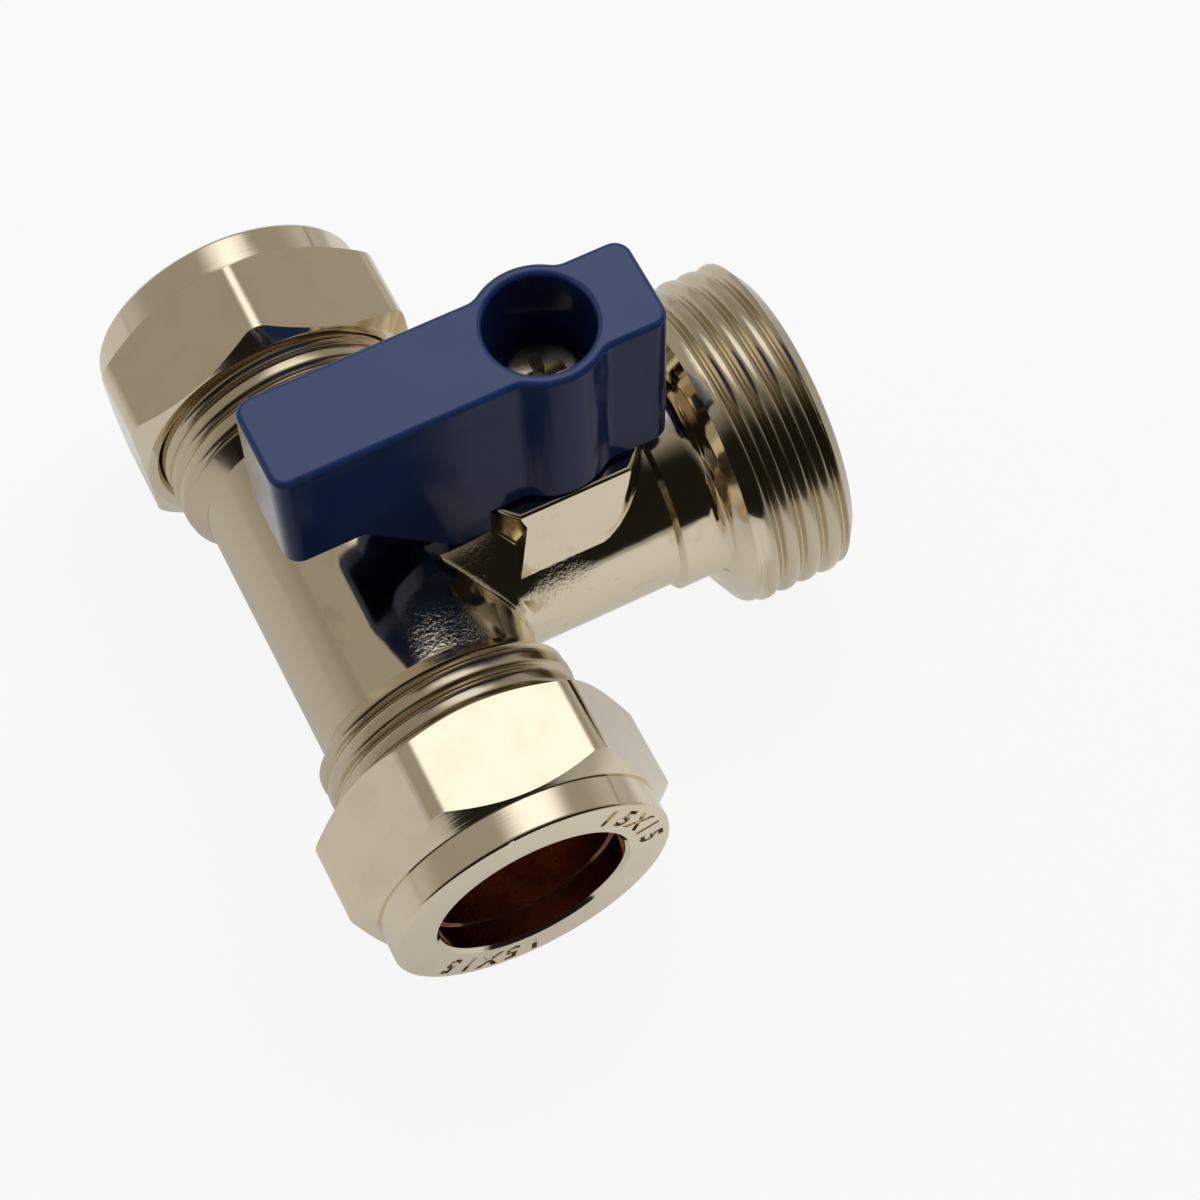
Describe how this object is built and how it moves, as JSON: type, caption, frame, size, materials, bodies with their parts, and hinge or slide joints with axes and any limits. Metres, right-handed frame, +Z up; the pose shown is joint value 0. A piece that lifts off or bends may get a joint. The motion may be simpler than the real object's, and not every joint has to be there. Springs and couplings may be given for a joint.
{
  "type": "washing machine valve",
  "caption": "Tee shut-off valve with compression nuts on the run, a threaded hose outlet on the branch and a quarter-turn lever over a ball.",
  "frame": {"origin": "middle of the part's outline seen from above, at the level of its lowest point", "axes": "+X along the branch towards the hose outlet, +Y along the run towards the rear nut, +Z up through the stem to the lever"},
  "size_m": [0.0492, 0.0568, 0.0418],
  "materials": {
    "nickel_casting": "polished nickel plate on a brass casting",
    "nickel_nut": "polished nickel plate on machined brass",
    "copper": "bare copper",
    "plated_ball": "polished chrome plate on brass",
    "bare_brass": "machined brass",
    "seat_plastic": "white sealing plastic",
    "seal_rubber": "moulded seal rubber",
    "blue_plastic": "gloss moulded plastic",
    "screw_steel": "plated steel"
  },
  "bodies": {
    "body": {"valve_body": "nickel_casting", "inner_seat": "seat_plastic", "outer_seat": "seat_plastic", "seat_retainer": "bare_brass", "thrust_washer": "seat_plastic"},
    "lever_and_ball": {"lever": "blue_plastic", "lever_screw": "screw_steel", "stem": "bare_brass", "lower_stem_oring": "seal_rubber", "upper_stem_oring": "seal_rubber", "ball": "plated_ball"},
    "front_olive_ring": {"front_olive": "copper"},
    "front_nut_body": {"front_nut": "nickel_nut"},
    "rear_olive_ring": {"rear_olive": "copper"},
    "rear_nut_body": {"rear_nut": "nickel_nut"}
  },
  "joints": [
    {"name": "lever_turn", "type": "hinge", "parent": "body", "child": "lever_and_ball", "pos_m": [0.00387, 0, 0.0253], "axis": [0, 0, 1], "range_deg": [-90, 0]},
    {"name": "front_olive_slide", "type": "slide", "parent": "body", "child": "front_olive_ring", "axis": [0, 1, 0], "range_m": [-0.00181, 0.00181]},
    {"name": "front_nut_turn", "type": "hinge", "parent": "front_olive_ring", "child": "front_nut_body", "pos_m": [-0.01137, -0.02288, 0.0133], "axis": [0, 1, 0], "range_deg": [-360, 360]},
    {"name": "rear_olive_slide", "type": "slide", "parent": "body", "child": "rear_olive_ring", "axis": [0, -1, 0], "range_m": [-0.00181, 0.00181]},
    {"name": "rear_nut_turn", "type": "hinge", "parent": "rear_olive_ring", "child": "rear_nut_body", "pos_m": [-0.01137, 0.02288, 0.0133], "axis": [0, -1, 0], "range_deg": [-360, 360]}
  ],
  "couplings": [
    {"joint": "front_olive_slide", "follows": "front_nut_turn", "m_per_rad": 0.00028871},
    {"joint": "rear_olive_slide", "follows": "rear_nut_turn", "m_per_rad": 0.00028871}
  ]
}
